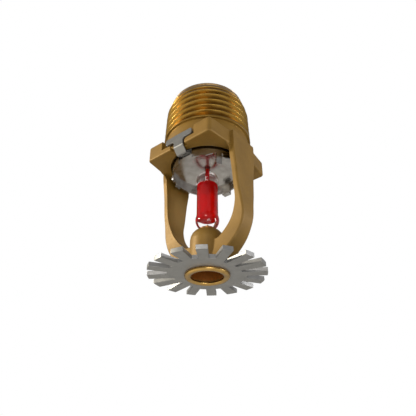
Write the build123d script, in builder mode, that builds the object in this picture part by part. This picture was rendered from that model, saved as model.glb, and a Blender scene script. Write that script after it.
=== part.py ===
from build123d import *
import math
import os

# Pendent fire sprinkler head, 1/2 inch pipe thread, glass bulb, millimetres.
# +Z points up the pipe. Z = 0 is the wrench boss's top face, where the neck starts.
# Arms lie along X. The ejector spring's T notch faces -Y.
# Heights h below are above the deflector's lower face. z_of turns them into Z.

# frame casting
SHOULDER_H = 31.6
BOSS_UNDER_H = 27.6
BOSS_HALF_FLATS = 11.1
BOSS_CORNER_X = 9.3
BOSS_SIDE_X = 10.1
BOSS_SIDE_Y = 4.2
BOSS_CORNER_R = 0.9
EDGE_R = 0.35
ARM_OUT_X = 10.85
ARM_EDGE_R = 0.4
ARM_WEB_X = 9.62
FLARE_R = 2.0
HUB_R = 3.82
HUB_TOP_R = 2.4
HUB_TOP_H = 10.2
HUB_FOOT_R = 5.2
HUB_FOOT_H = 2.3
YOKE_REACH = 15

# inlet nipple, 1/2-14 NPT
NIPPLE_LEN = 16.0
NECK_R = 10.25
NECK_LEN = 3.1
PITCH = 25.4 / 14
TAPER = 1 / 32
CREST_R = 10.86
THREAD_DEPTH = 1.25
THREAD_BASE_W = 1.62
THREAD_CREST_W = 0.22
FIRST_CREST_Z = 3.25
GROOVE_Z = 4.05
GROOVE_LATE = 1.9
GROOVE_START_DEG = 215
CUTTER_OVER = 0.15
LEAD_LEN = 4.1
END_R = 9.3
INLET_R = 7.5
INLET_LEN = 9.0
ORIFICE_R = 6.35

# opening for the cap and its seat
MOUTH_R = 8.9
MOUTH_ROOF_H = 29.7
SEAT_H = 29.07
SEAT_LIP_R = 7.1

# T notch and ejector spring
NOTCH_DEPTH_Y = 9.95
NOTCH_HEAD_HALF = 4.9
NOTCH_STEM_HALF = 2.15
NOTCH_STEP_H = 28.9
NOTCH_CORNER_R = 0.7
SPRING_T = 0.4
SPRING_HALF = 1.35
SPRING_HEAD_HALF = 3.95
SPRING_HEAD_H = 1.65
SPRING_Y = 10.6
SPRING_TOP_H = 31.4
SPRING_BEND_R = 0.45
SPRING_CORNER_R = 0.5
SPRING_CROTCH_R = 0.6
BEND_H = 28.0
TONGUE_H = 27.4
TONGUE_END_Y = 6.9

# deflector and bushing
DEFLECTOR_R = 12.7
DEFLECTOR_T = 0.93
DEFLECTOR_HOLE_R = 4.05
TINES = 16
SLOT_ROOT_R = 8.5
DEEP_SLOT_ROOT_R = 7.25
SLOT_ROOT_HALF_W = 0.68
DEEP_ROOT_HALF_W = 0.4
TINE_HALF_DEG = (5.7, 4.9, 4.5, 4.9)
BUSHING_R = 4.0
BUSHING_BORE_R = 3.45
BUSHING_LIP_R = 4.93
BUSHING_LIP_H = 0.75
BUSHING_TOP_H = 2.9

# compression screw and lower bulb seat
SCREW_R = 2.45
SCREW_PITCH = 0.8
SCREW_LOW_H = 4.4
SCREW_TOP_H = 8.9
SCREW_NOSE_R = 1.5
SCREW_SOCKET_AF = 2.5
SCREW_CHAMFER = 0.4
GROOVE_HALF_W = 0.35
CUP_R = 1.75
CUP_LOW_H = 9.6
CUP_TOP_H = 10.95
HUB_HOLE_R = 1.95
HUB_BORE_R = 2.5
SOCKET_DEPTH = 2.0
THREAD_GROOVE = 0.42

# clearances between pieces
PRESS_GAP = 0.02
STACK_GAP = 0.01

# glass bulb, nominal 5 mm
BULB_R = 2.475
BULB_END_R = 2.72
BULB_LOW_H = 13.2
BULB_UP_H = 23.8
BULB_NECK_DEG = 62
PIP_R = 0.52
PIP_TOP_H = 27.85
CAVITY_R = 2.12
CAVITY_LOW_H = 13.2
CAVITY_TOP_H = 23.3
CAVITY_FLOOR_R = 1.35
CAVITY_ROOF_R = 1.0
CAPILLARY_R = 0.3
SEAL_OFF_R = 0.06
LIQUID_GAP = 0.02

# cap stack
SHELL_T = 0.37
SHELL_R = 8.45
SHELL_RIM_H = 25.3
SHELL_WALL_TOP_H = 27.9
SHELL_FACE_RIM_H = 26.7
SHELL_FACE_MID_H = 27.3
SHELL_HOLE_R = 0.68
SHELL_GAP_HALF = 1.95
TAB_W = 1.3
TAB_DROP = 2.1
TAB_SLIT_W = 0.26
TAB_DEG = -33
HOOK_W = 1.9
HOOK_DROP = 1.15
SIDE_TABS_DEG = (-148, -170)
SIDE_TAB_W = 1.5
SIDE_TAB_LEAN_DEG = 12
TOOTH_H = 0.75
TOOTH_DEGS = (-47, -15)
INSERT_R = 4.6
INSERT_TOP_H = 28.22
SPIGOT_R = 2.45
SPIGOT_TOP_H = 29.3
DISC_IN_R = 2.6
DISC_OUT_R = 7.6
DISC_T = 0.36
DISC_RISE = 0.32
TAPE_T = 0.08

os.makedirs("parts", exist_ok=True)


def z_of(h):
    return h - SHOULDER_H


def polar(r, deg):
    return (r * math.cos(math.radians(deg)), r * math.sin(math.radians(deg)))


# ---------------------------------------------------------------- frame
# One yoke blank seen along Y, cut to the arms' width seen along X.
# Its flat underside ends below the top of the hub's foot, inside the hub.
OUTER_SIDE = [
    (ARM_OUT_X, 31.6), (ARM_OUT_X, 22.0), (10.95, 16.0), (11.12, 12.6), (11.0, 10.2),
    (10.5, 8.6), (9.7, 7.0), (8.5, 5.4), (7.1, 4.1), (5.6, 2.9), (4.0, 1.7),
]
INNER_SIDE = [
    (9.55, 30.0), (9.6, 22.0), (9.63, 16.5), (9.45, 14.3), (9.1, 13.0), (8.5, 11.4),
    (7.75, 10.1), (6.9, 9.0), (6.0, 8.05), (5.0, 7.2), (4.1, 6.7),
]
ARM_HALF_WIDTH = [
    (3.0, 0.9), (2.2, 4.0), (1.95, 7.0), (1.95, 10.0), (2.2, 12.0), (2.5, 14.0),
    (2.95, 16.0), (3.3, 18.5), (3.65, 22.0), (3.95, 24.0), (4.2, 25.6),
]

with BuildPart() as yoke:
    with BuildSketch(Plane.XZ):
        with BuildLine():
            out_pts = [(x, z_of(h)) for x, h in OUTER_SIDE]
            right = Spline(*out_pts, tangents=[(0, -1), (-1, -0.35)])
            left = mirror(right, about=Plane.YZ)
            Line(right @ 0, left @ 0)
            Line(right @ 1, left @ 1)
        make_face()
        with BuildLine():
            in_pts = [(x, z_of(h)) for x, h in INNER_SIDE]
            right = Spline(*in_pts, tangents=[(0, -1), (-1, -0.25)])
            left = mirror(right, about=Plane.YZ)
            Line(right @ 0, left @ 0)
            Line(right @ 1, left @ 1)
        make_face(mode=Mode.SUBTRACT)
    extrude(amount=YOKE_REACH, both=True)
    with BuildSketch(Plane.YZ):
        with BuildLine():
            w_pts = [(w, z_of(h)) for w, h in ARM_HALF_WIDTH]
            side = Spline(*w_pts)
            up = Line(side @ 1, ((side @ 1).X, z_of(SHOULDER_H)))
            m_side = mirror(side, about=Plane.YZ)
            m_up = mirror(up, about=Plane.YZ)
            Line(up @ 1, m_up @ 1)
            Line(side @ 0, m_side @ 0)
        make_face()
    extrude(amount=YOKE_REACH, both=True, mode=Mode.INTERSECT)

# Concave webs between the boss's underside and the arms' sides
with BuildPart() as webs:
    with BuildSketch(Plane.YZ.offset(ARM_WEB_X)):
        with BuildLine():
            foot = (ARM_HALF_WIDTH[-1][0] - 0.1, z_of(BOSS_UNDER_H) - FLARE_R)
            tip = (ARM_HALF_WIDTH[-1][0] + FLARE_R, z_of(BOSS_UNDER_H) + 0.01)
            back = (ARM_HALF_WIDTH[-1][0] - 1.5, z_of(BOSS_UNDER_H) + 0.01)
            arc_mid = (foot[0] + 0.3 * FLARE_R, foot[1] + 0.71 * FLARE_R)
            ThreePointArc(foot, arc_mid, tip)
            Polyline(tip, back, (back[0], foot[1]), foot)
        make_face()
    extrude(amount=BOSS_SIDE_X - ARM_WEB_X - 0.2)
    mirror(about=Plane.XZ)
    mirror(about=Plane.YZ)

# The arms' long outer edges are rounded before the yoke joins the boss.
with BuildPart() as soft_yoke:
    add(yoke.part)
    long_edges = soft_yoke.edges().filter_by(lambda e: e.length > 12 and abs(e.center().X) > 9.9)
    fillet(long_edges, ARM_EDGE_R)

with BuildPart() as boss:
    with BuildSketch(Plane.XY.offset(z_of(BOSS_UNDER_H))) as plan:
        corner = (BOSS_CORNER_X, BOSS_HALF_FLATS)
        shoulder = (BOSS_SIDE_X, BOSS_SIDE_Y)
        quarter = [corner, shoulder, (ARM_OUT_X, BOSS_SIDE_Y - 0.75)]
        lower = [(x, -y) for x, y in reversed(quarter)]
        half = quarter + lower
        Polygon(*half, *[(-x, -y) for x, y in half], align=None)
        far_corners = plan.vertices().filter_by(lambda v: abs(v.Y) > BOSS_HALF_FLATS - 0.1)
        fillet(far_corners, BOSS_CORNER_R)
    extrude(amount=SHOULDER_H - BOSS_UNDER_H)
    rims = boss.edges().filter_by(lambda e: abs(e.center().Y) > BOSS_SIDE_Y)
    fillet(rims.filter_by(lambda e: abs(e.tangent_at(0.5).Z) < 0.1), EDGE_R)

with BuildPart() as hub:
    with BuildSketch(Plane.XZ):
        hub_pts = [
            (0, DEFLECTOR_T + PRESS_GAP), (HUB_FOOT_R, DEFLECTOR_T + PRESS_GAP), (HUB_FOOT_R, HUB_FOOT_H),
            (HUB_R, HUB_FOOT_H + 0.9), (HUB_R, 7.9), (3.68, 8.7), (3.4, 9.35), (3.0, 9.85),
            (HUB_TOP_R, HUB_TOP_H), (0, HUB_TOP_H),
        ]
        Polygon(*[(x, z_of(h)) for x, h in hub_pts], align=None)
    revolve(axis=Axis.Z)


def crest_r(z):
    """Thread crest radius at height z above the shoulder; the taper shrinks it upward."""
    return CREST_R - (z - NECK_LEN) * TAPER


# One long helical cutter, as wide as the gap between neighbouring crests
with BuildPart() as groove:
    groove_len = NIPPLE_LEN - GROOVE_Z + GROOVE_LATE
    root_r = crest_r(GROOVE_Z) - THREAD_DEPTH
    cone = -math.degrees(math.atan(TAPER))
    path = Helix(PITCH, groove_len, root_r, center=(0, 0, GROOVE_Z), cone_angle=cone)
    with BuildSketch(Plane(origin=path @ 0, x_dir=(1, 0, 0), z_dir=path % 0)):
        half_root = (PITCH - THREAD_BASE_W) / 2
        half_open = (PITCH - THREAD_CREST_W) / 2
        reach = THREAD_DEPTH + CUTTER_OVER
        half_reach = half_root + (half_open - half_root) * reach / THREAD_DEPTH
        Polygon(
            (0, -half_root), (reach, -half_reach), (reach, half_reach), (0, half_root),
            align=None,
        )
    sweep(path=path, is_frenet=True)

# Turned blank with a long lead at its upper end; the groove is cut out of it
with BuildPart() as nipple:
    with BuildSketch(Plane.XZ):
        lead_z = NIPPLE_LEN - LEAD_LEN
        blank_pts = [
            (0, -0.5), (NECK_R, -0.5), (NECK_R, NECK_LEN), (crest_r(FIRST_CREST_Z), FIRST_CREST_Z),
            (crest_r(lead_z), lead_z), (END_R, NIPPLE_LEN), (0, NIPPLE_LEN),
        ]
        Polygon(*blank_pts, align=None)
    revolve(axis=Axis.Z)
    add(groove.part, mode=Mode.SUBTRACT)

with BuildPart() as bores:
    with BuildSketch(Plane.XZ):
        seat_z = z_of(SEAT_H)
        roof_z = z_of(MOUTH_ROOF_H)
        inlet_low = NIPPLE_LEN - INLET_LEN
        bore_pts = [
            (0, z_of(BOSS_UNDER_H) - 0.5), (MOUTH_R, z_of(BOSS_UNDER_H) - 0.5), (MOUTH_R, roof_z),
            (SEAT_LIP_R + 0.4, roof_z), (SEAT_LIP_R, seat_z), (ORIFICE_R, seat_z),
            (ORIFICE_R, inlet_low - 3.0), (INLET_R, inlet_low), (INLET_R, NIPPLE_LEN + 1),
            (0, NIPPLE_LEN + 1),
        ]
        Polygon(*bore_pts, align=None)
    revolve(axis=Axis.Z)
    with BuildSketch(Plane.XZ):
        socket_pts = [
            (0, z_of(0)), (BUSHING_R + PRESS_GAP, z_of(0)),
            (BUSHING_R + PRESS_GAP, z_of(BUSHING_TOP_H + 0.05)),
            (HUB_BORE_R, z_of(BUSHING_TOP_H + 0.05)), (HUB_BORE_R, z_of(SCREW_TOP_H + 0.15)),
            (HUB_HOLE_R, z_of(SCREW_TOP_H + 0.15)), (HUB_HOLE_R, z_of(HUB_TOP_H + 0.5)),
            (0, z_of(HUB_TOP_H + 0.5)),
        ]
        Polygon(*socket_pts, align=None)
    revolve(axis=Axis.Z)

with BuildPart() as t_notch:
    with BuildSketch(Plane.XZ.offset(NOTCH_DEPTH_Y)) as t_shape:
        head_h = SHOULDER_H - NOTCH_STEP_H
        stem_h = NOTCH_STEP_H - BOSS_UNDER_H
        with Locations((0, z_of(NOTCH_STEP_H) + head_h / 2)):
            Rectangle(2 * NOTCH_HEAD_HALF, head_h)
        with Locations((0, z_of(BOSS_UNDER_H) + stem_h / 2 - 0.5)):
            Rectangle(2 * NOTCH_STEM_HALF, stem_h + 1.2)
        inner_corners = t_shape.vertices().filter_by(
            lambda v: abs(abs(v.X) - NOTCH_STEM_HALF) < 0.01 and v.Y > z_of(BOSS_UNDER_H + 0.5)
        )
        fillet(inner_corners, NOTCH_CORNER_R)
    extrude(amount=3)

with BuildPart() as frame:
    add(soft_yoke.part)
    add(boss.part)
    add(webs.part)
    add(hub.part)
    add(nipple.part, rotation=(0, 0, GROOVE_START_DEG))
    add(bores.part, mode=Mode.SUBTRACT)
    add(t_notch.part, mode=Mode.SUBTRACT)
frame.part.label = "frame"
export_step(frame.part, "parts/frame.step")

# ---------------------------------------------------------------- deflector
with BuildPart() as deflector:
    with BuildSketch(Plane.XY.offset(z_of(0))):
        Circle(DEFLECTOR_R)
        Circle(DEFLECTOR_HOLE_R, mode=Mode.SUBTRACT)
        step = 360 / TINES
        for i in range(TINES):
            centre = i * step
            # 0, 180 and their neighbours lie by the arms and are cut deeper
            by_arm = min(centre % 180, 180 - centre % 180) < 1.5 * step
            root_r = DEEP_SLOT_ROOT_R if by_arm else SLOT_ROOT_R
            root_w = DEEP_ROOT_HALF_W if by_arm else SLOT_ROOT_HALF_W
            low_edge = centre - step / 2 + TINE_HALF_DEG[(i + 3) % 4]
            high_edge = centre + step / 2 - TINE_HALF_DEG[(i + 4) % 4]
            root_half = math.degrees(math.atan(root_w / root_r))
            Polygon(
                polar(root_r, centre - root_half), polar(DEFLECTOR_R + 1, low_edge),
                polar(DEFLECTOR_R + 1, high_edge), polar(root_r, centre + root_half),
                align=None, mode=Mode.SUBTRACT,
            )
    extrude(amount=DEFLECTOR_T)
deflector.part.label = "deflector"
export_step(deflector.part, "parts/deflector.step")

with BuildPart() as bushing:
    with BuildSketch(Plane.XZ):
        lip = BUSHING_LIP_H
        with BuildLine():
            outer = Polyline(
                (BUSHING_BORE_R, z_of(BUSHING_TOP_H)), (BUSHING_R, z_of(BUSHING_TOP_H)),
                (BUSHING_R, z_of(-PRESS_GAP)), (BUSHING_LIP_R - 0.1, z_of(-PRESS_GAP)),
            )
            side = ThreePointArc(
                outer @ 1, (BUSHING_LIP_R - 0.1, z_of(-0.4)), (BUSHING_LIP_R - 0.42, z_of(-lip + 0.06)),
            )
            under = Spline(
                side @ 1, (4.2, z_of(-lip)), (3.82, z_of(-lip + 0.08)),
                (BUSHING_BORE_R, z_of(-lip + 0.42)), tangents=[(-1, -0.15), (0, 1)],
            )
            Line(under @ 1, outer @ 0)
        make_face()
    revolve(axis=Axis.Z)
bushing.part.label = "deflector_bushing"
export_step(bushing.part, "parts/deflector_bushing.step")

# ---------------------------------------------------------------- compression screw, cup
with BuildPart() as screw:
    with BuildSketch(Plane.XZ):
        screw_pts = [
            (0, z_of(SCREW_LOW_H)), (SCREW_R - SCREW_CHAMFER, z_of(SCREW_LOW_H)),
            (SCREW_R, z_of(SCREW_LOW_H + SCREW_CHAMFER)), (SCREW_R, z_of(SCREW_TOP_H - SCREW_CHAMFER)),
            (SCREW_R - SCREW_CHAMFER, z_of(SCREW_TOP_H)), (SCREW_NOSE_R, z_of(SCREW_TOP_H)),
            (SCREW_NOSE_R, z_of(CUP_LOW_H)), (0, z_of(CUP_LOW_H)),
        ]
        Polygon(*screw_pts, align=None)
        groove_count = int((SCREW_TOP_H - SCREW_LOW_H - 1.0) / SCREW_PITCH)
        for i in range(groove_count + 1):
            groove_z = z_of(SCREW_LOW_H + 0.7 + i * SCREW_PITCH)
            Polygon(
                (SCREW_R + 0.1, groove_z - GROOVE_HALF_W), (SCREW_R + 0.1, groove_z + GROOVE_HALF_W),
                (SCREW_R - THREAD_GROOVE, groove_z), align=None, mode=Mode.SUBTRACT,
            )
    revolve(axis=Axis.Z)
    with BuildSketch(Plane.XY.offset(z_of(SCREW_LOW_H))):
        RegularPolygon(SCREW_SOCKET_AF / 2, 6, major_radius=False)
    extrude(amount=SOCKET_DEPTH, mode=Mode.SUBTRACT)
screw.part.label = "compression_screw"
export_step(screw.part, "parts/compression_screw.step")

with BuildPart() as cup:
    with BuildSketch(Plane.XZ):
        cup_pts = [
            (0, z_of(CUP_LOW_H + STACK_GAP)), (CUP_R - 0.15, z_of(CUP_LOW_H + STACK_GAP)),
            (CUP_R, z_of(CUP_LOW_H + 0.16)), (CUP_R, z_of(CUP_TOP_H - 0.1)),
            (CUP_R - 0.08, z_of(CUP_TOP_H)), (0, z_of(CUP_TOP_H)),
        ]
        Polygon(*cup_pts, align=None)
    revolve(axis=Axis.Z)
    with Locations((0, 0, z_of(BULB_LOW_H))):
        Sphere(BULB_END_R + STACK_GAP, mode=Mode.SUBTRACT)
cup.part.label = "bulb_cup"
export_step(cup.part, "parts/bulb_cup.step")

# ---------------------------------------------------------------- glass bulb and liquid
with BuildPart() as bulb:
    with BuildSketch(Plane.XZ) as bulb_outline:
        swell = math.sqrt(BULB_END_R**2 - BULB_R**2) + 0.35
        low_c = z_of(BULB_LOW_H)
        up_c = z_of(BULB_UP_H)
        bottom = (0, low_c - BULB_END_R)
        low_side = (BULB_END_R, low_c)
        up_side = (BULB_END_R, up_c)
        neck_deg = BULB_NECK_DEG
        neck = (
            BULB_END_R * math.cos(math.radians(neck_deg)),
            up_c + BULB_END_R * math.sin(math.radians(neck_deg)),
        )
        low_mid = polar(BULB_END_R, -45)
        up_mid = polar(BULB_END_R, neck_deg / 2)
        with BuildLine():
            ThreePointArc(bottom, (low_mid[0], low_c + low_mid[1]), low_side)
            Spline(low_side, (BULB_R, low_c + swell), tangents=[(0, 1), (0, 1)])
            Line((BULB_R, low_c + swell), (BULB_R, up_c - swell))
            Spline((BULB_R, up_c - swell), up_side, tangents=[(0, 1), (0, 1)])
            ThreePointArc(up_side, (up_mid[0], up_c + up_mid[1]), neck)
            shoulder = Spline(
                neck, (PIP_R, z_of(PIP_TOP_H) - 0.55),
                tangents=[(-math.sin(math.radians(neck_deg)), math.cos(math.radians(neck_deg))), (0, 1)],
            )
            tip = ThreePointArc(
                shoulder @ 1, (PIP_R * 0.72, z_of(PIP_TOP_H) - 0.16), (0, z_of(PIP_TOP_H)),
            )
            Line(tip @ 1, bottom)
        make_face()
    revolve(axis=Axis.Z)
    with BuildSketch(Plane.XZ):
        cavity_pts = [
            (0, z_of(CAVITY_LOW_H)), (CAVITY_FLOOR_R, z_of(CAVITY_LOW_H + 0.2)),
            (CAVITY_R - 0.15, z_of(CAVITY_LOW_H + 0.75)), (CAVITY_R, z_of(CAVITY_LOW_H + 1.5)),
            (CAVITY_R, z_of(CAVITY_TOP_H - 0.9)), (CAVITY_R - 0.3, z_of(CAVITY_TOP_H - 0.35)),
            (CAVITY_ROOF_R, z_of(CAVITY_TOP_H)), (CAPILLARY_R, z_of(CAVITY_TOP_H + 0.12)),
            (CAPILLARY_R, z_of(PIP_TOP_H - 0.4)), (SEAL_OFF_R, z_of(PIP_TOP_H - 0.4)),
            (SEAL_OFF_R, z_of(PIP_TOP_H + 0.2)), (0, z_of(PIP_TOP_H + 0.2)),
        ]
        Polygon(*cavity_pts, align=None)
    revolve(axis=Axis.Z, mode=Mode.SUBTRACT)
bulb.part.label = "glass_bulb"
export_step(bulb.part, "parts/glass_bulb.step")

with BuildPart() as liquid:
    with BuildSketch(Plane.XZ):
        g = LIQUID_GAP
        liquid_pts = [
            (0, z_of(CAVITY_LOW_H + g)), (CAVITY_FLOOR_R - g, z_of(CAVITY_LOW_H + 0.2 + g)),
            (CAVITY_R - 0.15 - g, z_of(CAVITY_LOW_H + 0.75 + g)),
            (CAVITY_R - g, z_of(CAVITY_LOW_H + 1.5)), (CAVITY_R - g, z_of(CAVITY_TOP_H - 0.9)),
            (CAVITY_R - 0.3 - g, z_of(CAVITY_TOP_H - 0.35 - g)), (CAVITY_ROOF_R, z_of(CAVITY_TOP_H - g)),
            (CAPILLARY_R - g, z_of(CAVITY_TOP_H + 0.1)),
            (CAPILLARY_R - g, z_of(PIP_TOP_H - 0.42)), (0, z_of(PIP_TOP_H - 0.42)),
        ]
        Polygon(*liquid_pts, align=None)
    revolve(axis=Axis.Z)
liquid.part.label = "bulb_liquid"
export_step(liquid.part, "parts/bulb_liquid.step")

# ---------------------------------------------------------------- cap stack


def shell_face_z(r):
    """Underside of the shell's shallow cone at radius r."""
    share = (SHELL_R - SHELL_T - r) / (SHELL_R - SHELL_T - SHELL_HOLE_R)
    return z_of(SHELL_FACE_RIM_H + share * (SHELL_FACE_MID_H - SHELL_FACE_RIM_H))


with BuildPart() as cap_shell:
    with BuildSketch(Plane.XZ):
        wall_in = SHELL_R - SHELL_T
        shell_pts = [
            (SHELL_HOLE_R, shell_face_z(SHELL_HOLE_R)), (wall_in, shell_face_z(wall_in)),
            (wall_in, z_of(SHELL_RIM_H)), (SHELL_R, z_of(SHELL_RIM_H)),
            (SHELL_R, z_of(SHELL_WALL_TOP_H)), (wall_in, z_of(SHELL_WALL_TOP_H)),
            (wall_in, shell_face_z(wall_in) + SHELL_T),
            (SHELL_HOLE_R, shell_face_z(SHELL_HOLE_R) + SHELL_T),
        ]
        Polygon(*shell_pts, align=None)
    revolve(axis=Axis.Z)
    # gap in the wall for the ejector spring's tongue
    with Locations((0, -SHELL_R, z_of(SHELL_RIM_H + 1.3))):
        Box(2 * SHELL_GAP_HALF, 1.4, 4.0, mode=Mode.SUBTRACT)
    # V teeth in the rim's lower edge
    for deg in TOOTH_DEGS:
        with BuildSketch(Plane(origin=(*polar(SHELL_R, deg), z_of(SHELL_RIM_H)),
                               x_dir=(-math.sin(math.radians(deg)), math.cos(math.radians(deg)), 0),
                               z_dir=(math.cos(math.radians(deg)), math.sin(math.radians(deg)), 0))):
            Polygon((-1.3, -0.1), (1.1, -0.1), (0.7, TOOTH_H), align=None)
        extrude(amount=1, both=True, mode=Mode.SUBTRACT)
    # slits each side of the hanging tab, then the tab itself
    for side in (-1, 1):
        slit_deg = TAB_DEG + side * math.degrees((TAB_W + TAB_SLIT_W) / 2 / SHELL_R)
        place = (*polar(SHELL_R, slit_deg), z_of(SHELL_RIM_H + 0.4))
        with Locations(Location(place, (0, 0, slit_deg))):
            Box(1.2, TAB_SLIT_W, 1.2, mode=Mode.SUBTRACT)
    tab_r = SHELL_R - SHELL_T / 2
    tab_z = z_of(SHELL_RIM_H) - TAB_DROP / 2 + 0.3
    with Locations(Location((*polar(tab_r, TAB_DEG), tab_z), (0, 0, TAB_DEG))):
        Box(SHELL_T * 0.9, TAB_W, TAB_DROP + 0.6)
    # two short tabs on the far side of the spring
    for deg in SIDE_TABS_DEG:
        place = (*polar(tab_r + 0.1, deg), z_of(SHELL_RIM_H) - 0.1)
        with Locations(Location(place, (0, SIDE_TAB_LEAN_DEG, deg))):
            Box(SHELL_T, SIDE_TAB_W, 1.0)
    # hook opposite the spring, bent under the rim
    hook_z = z_of(SHELL_RIM_H) - HOOK_DROP / 2 + 0.2
    with Locations((0, tab_r, hook_z)):
        Box(HOOK_W, SHELL_T * 0.9, HOOK_DROP + 0.4)
    with Locations((0, tab_r - 0.42, z_of(SHELL_RIM_H) - HOOK_DROP + 0.17)):
        Box(HOOK_W, 1.17, SHELL_T * 0.9)
cap_shell.part.label = "cap_shell"
export_step(cap_shell.part, "parts/cap_shell.step")

with BuildPart() as insert:
    with BuildSketch(Plane.XZ):
        insert_low = SHELL_T + STACK_GAP
        insert_pts = [
            (SHELL_HOLE_R + 0.1, shell_face_z(SHELL_HOLE_R + 0.1) + insert_low),
            (INSERT_R, shell_face_z(INSERT_R) + insert_low), (INSERT_R, z_of(INSERT_TOP_H)),
            (SPIGOT_R, z_of(INSERT_TOP_H)), (SPIGOT_R, z_of(SPIGOT_TOP_H - 0.2)),
            (SPIGOT_R - 0.2, z_of(SPIGOT_TOP_H)), (0, z_of(SPIGOT_TOP_H)), (0, z_of(PIP_TOP_H + 0.15)),
            (SHELL_HOLE_R + 0.1, z_of(PIP_TOP_H + 0.15)),
        ]
        Polygon(*insert_pts, align=None)
    revolve(axis=Axis.Z)
insert.part.label = "cap_insert"
export_step(insert.part, "parts/cap_insert.step")


def dished_ring(in_r, out_r, low_h, thick):
    """Conical washer whose inner edge sits DISC_RISE below its outer edge."""
    with BuildPart() as ring:
        with BuildSketch(Plane.XZ):
            in_z = z_of(low_h)
            out_z = in_z + DISC_RISE * (out_r - in_r) / (DISC_OUT_R - DISC_IN_R)
            upper = [(out_r, out_z + thick), (in_r, in_z + thick)]
            Polygon((in_r, in_z), (out_r, out_z), *upper, align=None)
        revolve(axis=Axis.Z)
    return ring


tape_low_h = INSERT_TOP_H + STACK_GAP
washer_low_h = tape_low_h + TAPE_T + STACK_GAP
top_tape_h = washer_low_h + DISC_T + STACK_GAP
lower_tape = dished_ring(DISC_IN_R, DISC_OUT_R, tape_low_h, TAPE_T)
washer = dished_ring(DISC_IN_R, DISC_OUT_R, washer_low_h, DISC_T)
upper_tape = dished_ring(DISC_IN_R, DISC_OUT_R, top_tape_h, TAPE_T)
lower_tape.part.label = "seal_tape_lower"
export_step(lower_tape.part, "parts/seal_tape_lower.step")
washer.part.label = "belleville_spring"
export_step(washer.part, "parts/belleville_spring.step")
upper_tape.part.label = "seal_tape_upper"
export_step(upper_tape.part, "parts/seal_tape_upper.step")

# ---------------------------------------------------------------- ejector spring
with BuildPart() as spring:
    with BuildSketch(Plane.YZ):
        with BuildLine():
            half_t = SPRING_T / 2
            leg = FilletPolyline(
                (-SPRING_Y, z_of(SPRING_TOP_H)), (-SPRING_Y, z_of(BEND_H)), (-9.25, z_of(26.4)),
                (-8.25, z_of(TONGUE_H)), (-TONGUE_END_Y, z_of(TONGUE_H + 0.06)), radius=SPRING_BEND_R,
            )
            offset(leg, amount=half_t, side=Side.BOTH)
        make_face()
    extrude(amount=SPRING_HALF, both=True)
    with BuildSketch(Plane.XZ.offset(SPRING_Y - half_t)) as head:
        with Locations((0, z_of(SPRING_TOP_H) - SPRING_HEAD_H / 2)):
            RectangleRounded(2 * SPRING_HEAD_HALF, SPRING_HEAD_H, SPRING_CORNER_R)
        with Locations((0, z_of(SPRING_TOP_H) - SPRING_HEAD_H - 0.4)):
            Rectangle(2 * SPRING_HALF, 1.2)
        head_low_z = z_of(SPRING_TOP_H - SPRING_HEAD_H)
        crotches = head.vertices().filter_by(
            lambda v: abs(abs(v.X) - SPRING_HALF) < 0.01 and v.Y > head_low_z - 0.1
        )
        fillet(crotches, SPRING_CROTCH_R)
    extrude(amount=SPRING_T)
spring.part.label = "ejector_spring"
export_step(spring.part, "parts/ejector_spring.step")
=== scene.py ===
import math

import bmesh
import bpy
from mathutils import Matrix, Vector


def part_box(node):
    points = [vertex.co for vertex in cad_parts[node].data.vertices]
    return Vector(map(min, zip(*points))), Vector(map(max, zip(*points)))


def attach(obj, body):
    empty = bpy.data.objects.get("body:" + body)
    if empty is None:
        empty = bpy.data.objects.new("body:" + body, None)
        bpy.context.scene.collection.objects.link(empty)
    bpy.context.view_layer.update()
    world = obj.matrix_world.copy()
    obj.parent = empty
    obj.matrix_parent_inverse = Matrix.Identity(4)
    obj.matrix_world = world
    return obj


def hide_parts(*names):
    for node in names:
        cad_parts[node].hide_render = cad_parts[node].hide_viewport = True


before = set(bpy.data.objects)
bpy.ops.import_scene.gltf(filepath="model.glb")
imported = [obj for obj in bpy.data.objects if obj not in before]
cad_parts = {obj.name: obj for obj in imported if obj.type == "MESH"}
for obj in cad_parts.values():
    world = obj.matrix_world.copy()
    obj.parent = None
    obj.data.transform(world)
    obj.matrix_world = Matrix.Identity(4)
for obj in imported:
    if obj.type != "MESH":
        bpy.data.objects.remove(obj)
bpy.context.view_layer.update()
MM = 0.001

# heights in the row frame where a finish changes, in metres
NECK_TOP = 3.1 * MM
THREAD_TOP = 16.0 * MM
DEFLECTOR_FACE = -31.6 * MM

# where noise starts and stops counting, out of 0 to 1
NOISE_LOW = 0.3
NOISE_HIGH = 0.7

# darkest and lightest base colour of each finish
CAST_BRASS = ((0.155, 0.082, 0.0075), (0.192, 0.103, 0.011))
THREAD_BRASS = ((0.27, 0.155, 0.03), (0.34, 0.2, 0.045))
THREAD_END = (0.33, 0.24, 0.17)
LIP_BRASS = ((0.36, 0.22, 0.065), (0.46, 0.29, 0.095))
# the brass of the bore, painted darker as shade inside the bore
BORE_PAINTED_SHADE = (0.24, 0.075, 0.008)
CAP_STEEL = ((0.33, 0.31, 0.3), (0.45, 0.44, 0.43))
PTFE = ((0.78, 0.77, 0.73), (0.88, 0.87, 0.84))
RED = ((0.62, 0.001, 0.002), (0.74, 0.002, 0.003))

# rounding drawn on sharp edges, and the rays that find them
CAST_EDGE_MM = 0.15
THREAD_EDGE_MM = 0.22
STEEL_EDGE_MM = 0.07
EDGE_SAMPLES = 16

# depth of each surface's grain
CAST_SKIN_MM = 0.008
STEEL_SKIN_MM = 0.003
LATHE_LINE_MM = 0.0006
TAPE_SKIN_MM = 0.004

# how strongly each material bends light
GLASS_IOR = 1.47
LIQUID_IOR = 1.05

# solid glass: how much of the bulb's height is straight, and the weld distance
CORE_SHARE = 0.28
WELD = 0.002 * MM


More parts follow.
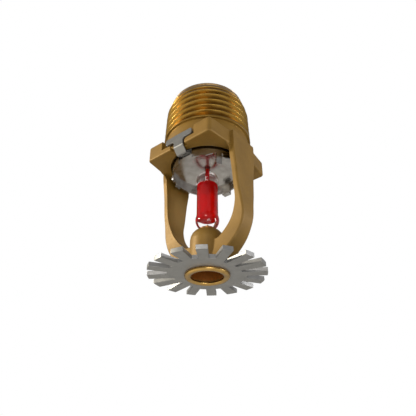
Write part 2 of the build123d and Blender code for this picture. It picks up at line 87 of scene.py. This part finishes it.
# ---------------------------------------------------------------- node helpers
class Finish:
    """One procedural material: a Principled shader and short calls that feed it."""

    def __init__(self, name, colour, metallic, roughness, **sockets):
        self.mat = bpy.data.materials.new(name)
        self.mat.use_nodes = True
        self.tree = self.mat.node_tree
        self.shader = self.tree.nodes["Principled BSDF"]
        self.put("Base Color", (*colour, 1.0))
        self.put("Metallic", metallic)
        self.put("Roughness", roughness)
        for socket, value in sockets.items():
            self.put(socket.replace("_", " "), value)
        self.coords = self.tree.nodes.new("ShaderNodeTexCoord").outputs["Object"]
        self.normal = None

    def put(self, socket, value):
        self.shader.inputs[socket].default_value = value

    def link(self, out, into):
        self.tree.links.new(out, into)

    def node(self, kind, **inputs):
        made = self.tree.nodes.new(kind)
        for name, value in inputs.items():
            made.inputs[name.replace("_", " ")].default_value = value
        return made

    def stretched(self, scale):
        """Object coordinates scaled unevenly, for grain that runs one way."""
        mapping = self.node("ShaderNodeMapping", Scale=scale)
        self.link(self.coords, mapping.inputs["Vector"])
        return mapping.outputs["Vector"]

    def noise(self, grain_mm, detail=4.0, scale=(1, 1, 1)):
        made = self.node("ShaderNodeTexNoise", Scale=1 / (grain_mm * MM), Detail=detail)
        self.link(self.stretched(scale), made.inputs["Vector"])
        return made.outputs["Fac"]

    def spread(self, value, low, high, to_low, to_high):
        made = self.node("ShaderNodeMapRange", From_Min=low, From_Max=high, To_Min=to_low, To_Max=to_high)
        self.link(value, made.inputs["Value"])
        return made.outputs["Result"]

    def ramp(self, value, stops):
        made = self.tree.nodes.new("ShaderNodeValToRGB")
        ends = made.color_ramp.elements
        while len(ends) < len(stops):
            ends.new(0.5)
        for element, (place, colour) in zip(ends, stops):
            element.position = place
            element.color = (*colour, 1.0)
        self.link(value, made.inputs["Fac"])
        return made.outputs["Color"]

    def mix(self, fac, a, b, kind="FLOAT"):
        made = self.tree.nodes.new("ShaderNodeMix")
        made.data_type = kind
        tag = {"FLOAT": "Float", "RGBA": "Color"}[kind]
        slots = {i.identifier: i for i in made.inputs}
        for key, value in (("Factor_Float", fac), ("A_" + tag, a), ("B_" + tag, b)):
            if isinstance(value, bpy.types.NodeSocket):
                self.link(value, slots[key])
            elif key != "Factor_Float" and kind == "RGBA":
                slots[key].default_value = (*value, 1.0)
            else:
                slots[key].default_value = value
        return {o.identifier: o for o in made.outputs}["Result_" + tag]

    def mottle(self, grain_mm, detail, pair, high=NOISE_HIGH):
        """Base colour that drifts between the pair's two colours."""
        return self.ramp(self.noise(grain_mm, detail), [(NOISE_LOW, pair[0]), (high, pair[1])])

    def uneven(self, grain_mm, detail, low, high):
        return self.spread(self.noise(grain_mm, detail), NOISE_LOW, NOISE_HIGH, low, high)

    def height(self):
        apart = self.tree.nodes.new("ShaderNodeSeparateXYZ")
        self.link(self.coords, apart.inputs[0])
        return apart.outputs["Z"]

    def bump(self, value, depth_mm, strength=1.0):
        made = self.node("ShaderNodeBump", Distance=depth_mm * MM, Strength=strength)
        self.link(value, made.inputs["Height"])
        if self.normal is not None:
            self.link(self.normal, made.inputs["Normal"])
        self.normal = made.outputs["Normal"]
        self.link(self.normal, self.shader.inputs["Normal"])

    def round_edges(self, radius):
        made = self.tree.nodes.new("ShaderNodeBevel")
        made.samples = EDGE_SAMPLES
        if isinstance(radius, bpy.types.NodeSocket):
            self.link(radius, made.inputs["Radius"])
        else:
            made.inputs["Radius"].default_value = radius * MM
        self.normal = made.outputs["Normal"]
        self.link(self.normal, self.shader.inputs["Normal"])

    def turned(self, pitch_mm, depth_mm):
        """Fine lathe lines round the axis."""
        lines = self.noise(pitch_mm, 2.0, (0.04, 0.04, 1))
        self.bump(lines, depth_mm)

    def spun(self, amount):
        """Grain that runs round the axis, so that highlights open into fans."""
        tangent = self.tree.nodes.new("ShaderNodeTangent")
        tangent.direction_type = "RADIAL"
        tangent.axis = "Z"
        self.link(tangent.outputs[0], self.shader.inputs["Tangent"])
        self.put("Anisotropic", amount)

    def colour(self, out):
        self.link(out, self.shader.inputs["Base Color"])

    def rough(self, out):
        self.link(out, self.shader.inputs["Roughness"])


def dress(node, finish):
    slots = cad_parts[node].data.materials
    slots.clear()
    slots.append(finish.mat)


# ---------------------------------------------------------------- finishes
def cast_brass():
    """Matte as cast, and machined bright above the neck."""
    f = Finish("cast_brass", CAST_BRASS[0], 0.45, 0.5)
    machined = f.spread(f.height(), NECK_TOP - 0.6 * MM, NECK_TOP + 0.5 * MM, 0.0, 1.0)
    f.round_edges(f.spread(machined, 0, 1, CAST_EDGE_MM * MM, THREAD_EDGE_MM * MM))
    matte = f.mottle(4.0, 3.0, CAST_BRASS)
    bright = f.mottle(2.6, 2.0, THREAD_BRASS, 0.75)
    end_face = f.spread(f.height(), THREAD_TOP - 2.2 * MM, THREAD_TOP, 0.0, 0.6)
    bright = f.mix(end_face, bright, THREAD_END, "RGBA")
    f.colour(f.mix(machined, matte, bright, "RGBA"))
    f.link(f.spread(machined, 0, 1, 0.3, 1.0), f.shader.inputs["Metallic"])
    grain = f.noise(0.3, 4.0)
    matte_rough = f.spread(grain, NOISE_LOW, NOISE_HIGH, 0.48, 0.6)
    f.rough(f.mix(machined, matte_rough, f.uneven(1.2, 2.0, 0.27, 0.33)))
    cast_skin = f.spread(machined, 0, 1, 1.0, 0.0)
    skin = f.tree.nodes.new("ShaderNodeMath")
    skin.operation = "MULTIPLY"
    f.link(grain, skin.inputs[0])
    f.link(cast_skin, skin.inputs[1])
    f.bump(skin.outputs[0], CAST_SKIN_MM)
    return f


def satin_steel(name, base, rough, grain_mm=0.3, patch=0.02):
    f = Finish(name, (base, base, base), 0.75, rough)
    f.round_edges(STEEL_EDGE_MM)
    f.colour(f.mottle(2.4, 3.0, ([base - patch] * 3, [base + patch] * 3)))
    grain = f.noise(grain_mm, 5.0)
    f.rough(f.spread(grain, NOISE_LOW, NOISE_HIGH, rough - 0.05, rough + 0.07))
    f.bump(grain, STEEL_SKIN_MM)
    return f


def spun_steel():
    """The cap: bright pressed sheet with a grain that runs round it."""
    f = Finish("bright_steel", CAP_STEEL[1], 1.0, 0.2)
    f.colour(f.mottle(1.6, 3.0, CAP_STEEL))
    f.rough(f.uneven(0.8, 3.0, 0.17, 0.23))
    f.spun(0.55)
    return f


def turned_brass(name, colour, rough):
    f = Finish(name, colour, 1.0, rough)
    dark = [c * 0.86 for c in colour]
    f.colour(f.mottle(0.8, 3.0, (dark, colour)))
    f.rough(f.uneven(0.3, 3.0, rough - 0.04, rough + 0.06))
    f.turned(0.3, LATHE_LINE_MM)
    return f


def bushing_brass():
    """Bright on the rolled lip; up the bore duller and more orange, its colour painted darker as shade
    inside the bore.
    """
    f = Finish("turned_brass", LIP_BRASS[1], 1.0, 0.24)
    in_bore = f.spread(f.height(), DEFLECTOR_FACE - 0.3 * MM, DEFLECTOR_FACE + 0.2 * MM, 0.0, 1.0)
    # up the bore the colour is painted shade, darker than the lip's brass
    f.colour(f.mix(in_bore, f.mottle(1.5, 3.0, LIP_BRASS), BORE_PAINTED_SHADE, "RGBA"))
    f.rough(f.spread(in_bore, 0, 1, 0.22, 0.5))
    f.link(f.spread(in_bore, 0, 1, 1.0, 0.5), f.shader.inputs["Metallic"])
    return f


def tape():
    f = Finish("ptfe", PTFE[1], 0.0, 0.5)
    f.colour(f.mottle(1.0, 3.0, PTFE))
    f.bump(f.noise(0.2, 3.0), TAPE_SKIN_MM)
    return f


def clear_glass():
    f = Finish("bulb_glass", (1.0, 1.0, 1.0), 0.0, 0.02, Transmission_Weight=1.0, IOR=GLASS_IOR)
    f.rough(f.uneven(1.5, 3.0, 0.0, 0.015))
    return f


def red_liquid():
    f = Finish("red_liquid", RED[0], 0.0, 0.08, Transmission_Weight=0.5, IOR=LIQUID_IOR)
    f.colour(f.mottle(2.6, 2.0, RED))
    return f


dress("frame", cast_brass())
dress("deflector", satin_steel("satin_metal", 0.25, 0.42))
dress("ejector_spring", satin_steel("spring_steel", 0.185, 0.38, 0.25))
dress("cap_shell", spun_steel())
dress("belleville_spring", satin_steel("nickel", 0.4, 0.3))
dress("deflector_bushing", bushing_brass())
dress("compression_screw", turned_brass("screw_brass", (0.55, 0.32, 0.1), 0.3))
dress("bulb_cup", turned_brass("copper", (0.42, 0.2, 0.07), 0.26))
dress("cap_insert", turned_brass("insert_copper", (0.45, 0.22, 0.1), 0.3))
dress("seal_tape_lower", tape())
dress("seal_tape_upper", tape())


def solid_glass():
    """The bulb as one body of glass: its outer skin, with the liquid set in it and no air between."""
    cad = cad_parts["glass_bulb"]
    mesh = cad.data.copy()
    mesh.name = "bulb_glass_body"
    low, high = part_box("glass_bulb")
    middle = (low.z + high.z) / 2
    reach = (high.z - low.z) * CORE_SHARE
    b = bmesh.new()
    b.from_mesh(mesh)
    b.normal_update()
    inner = []
    for face in b.faces:
        at = face.calc_center_median()
        axis_z = min(max(at.z, middle - reach), middle + reach)
        if face.normal.dot(at - Vector((0, 0, axis_z))) <= 0:
            inner.append(face)
    bmesh.ops.delete(b, geom=inner, context="FACES")
    bmesh.ops.remove_doubles(b, verts=b.verts, dist=WELD)
    rim = [e for e in b.edges if e.is_boundary]
    bmesh.ops.holes_fill(b, edges=rim, sides=0)
    for face in b.faces:
        face.smooth = True
    b.to_mesh(mesh)
    b.free()
    body = bpy.data.objects.new("bulb_glass_body", mesh)
    bpy.context.scene.collection.objects.link(body)
    mesh.materials.clear()
    mesh.materials.append(clear_glass().mat)
    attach(body, "bulb_and_cap")
    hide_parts("glass_bulb")
    return body


solid_glass()
dress("bulb_liquid", red_liquid())

# ---------------------------------------------------------------- camera, from below
AZIMUTH = math.radians(38.4)
TILT = math.radians(121.4)
CAMERA_AT = (0.0506, -0.0636, -0.0647)
LENS = 35.7
SENSOR = 36
NEAREST = 0.002
camera = bpy.data.cameras.new("camera")
camera.lens = LENS
camera.sensor_width = SENSOR
camera.clip_start = NEAREST
camera_object = bpy.data.objects.new("camera", camera)
camera_object.location = CAMERA_AT
camera_object.rotation_euler = (TILT, 0, AZIMUTH)
bpy.context.scene.collection.objects.link(camera_object)
bpy.context.scene.camera = camera_object
bpy.context.scene.view_settings.view_transform = "Standard"

# ---------------------------------------------------------------- floor, world and lights
FLOOR_Z = -0.13
FLOOR_HALF = 1.5
FLOOR_COLOUR = (0.8, 0.8, 0.79)
floor_mesh = bpy.data.meshes.new("floor")
corners = [(-1, -1), (1, -1), (1, 1), (-1, 1)]
floor_mesh.from_pydata([(x * FLOOR_HALF, y * FLOOR_HALF, FLOOR_Z) for x, y in corners], [], [(0, 1, 2, 3)])
floor = bpy.data.objects.new("floor", floor_mesh)
bpy.context.scene.collection.objects.link(floor)
floor_mesh.materials.append(Finish("floor", FLOOR_COLOUR, 0.0, 0.7).mat)

# strength and colour of the room's light, and of what is seen behind the object
ROOM = (0.37, (1.0, 0.97, 0.93))
WHITE = (1.0, (1.0, 1.0, 1.0))
world = bpy.data.worlds.new("studio")
bpy.context.scene.world = world
world.use_nodes = True
nodes = world.node_tree.nodes
links = world.node_tree.links


def backdrop(strength, colour):
    made = nodes.new("ShaderNodeBackground")
    made.inputs["Color"].default_value = (*colour, 1.0)
    made.inputs["Strength"].default_value = strength
    return made.outputs[0]


def maths(operation, *values):
    made = nodes.new("ShaderNodeMath")
    made.operation = operation
    for value, into in zip(values, made.inputs):
        if isinstance(value, float):
            into.default_value = value
        else:
            links.new(value, into)
    return made.outputs[0]


# Straight to the camera, or straight through glass, the room is white. What it
# sends back off a surface is dimmer, so the object is lit softly.
ray = nodes.new("ShaderNodeLightPath")
bounced = maths("ADD", ray.outputs["Diffuse Depth"], ray.outputs["Glossy Depth"])
straight = maths("LESS_THAN", bounced, 0.5)
room = nodes.new("ShaderNodeMixShader")
for source, into in zip((straight, backdrop(*ROOM), backdrop(*WHITE)), room.inputs):
    links.new(source, into)
links.new(room.outputs[0], nodes["World Output"].inputs["Surface"])

CENTRE = Vector((0, 0, -0.009))
RIGHT = Vector((math.cos(AZIMUTH), math.sin(AZIMUTH), 0))
TOWARD = Vector((math.sin(AZIMUTH), -math.cos(AZIMUTH), 0))


def softbox(name, right, toward, up, size, power, colour):
    """A square area light aimed at the object, placed by the camera's right and toward it."""
    lamp = bpy.data.lights.new(name, "AREA")
    lamp.size = size
    lamp.energy = power
    lamp.color = colour
    made = bpy.data.objects.new(name, lamp)
    made.location = CENTRE + right * RIGHT + toward * TOWARD + Vector((0, 0, up))
    made.rotation_euler = (CENTRE - made.location).to_track_quat("-Z", "Y").to_euler()
    bpy.context.scene.collection.objects.link(made)


# name, then metres to the right, toward the camera and up, then size, watts and colour
LAMPS = [
    ("key_left", -0.30, 0.02, 0.06, 0.05, 1.25, (1.0, 0.93, 0.76)),
    ("front", -0.08, 0.34, 0.12, 0.10, 0.29, (1.0, 0.96, 0.9)),
    ("below", 0.05, 0.20, -0.11, 0.12, 0.24, (1.0, 1.0, 1.0)),
    ("rim_right", 0.30, 0.06, 0.02, 0.10, 0.45, (1.0, 1.0, 1.0)),
]
for lamp_values in LAMPS:
    softbox(*lamp_values)
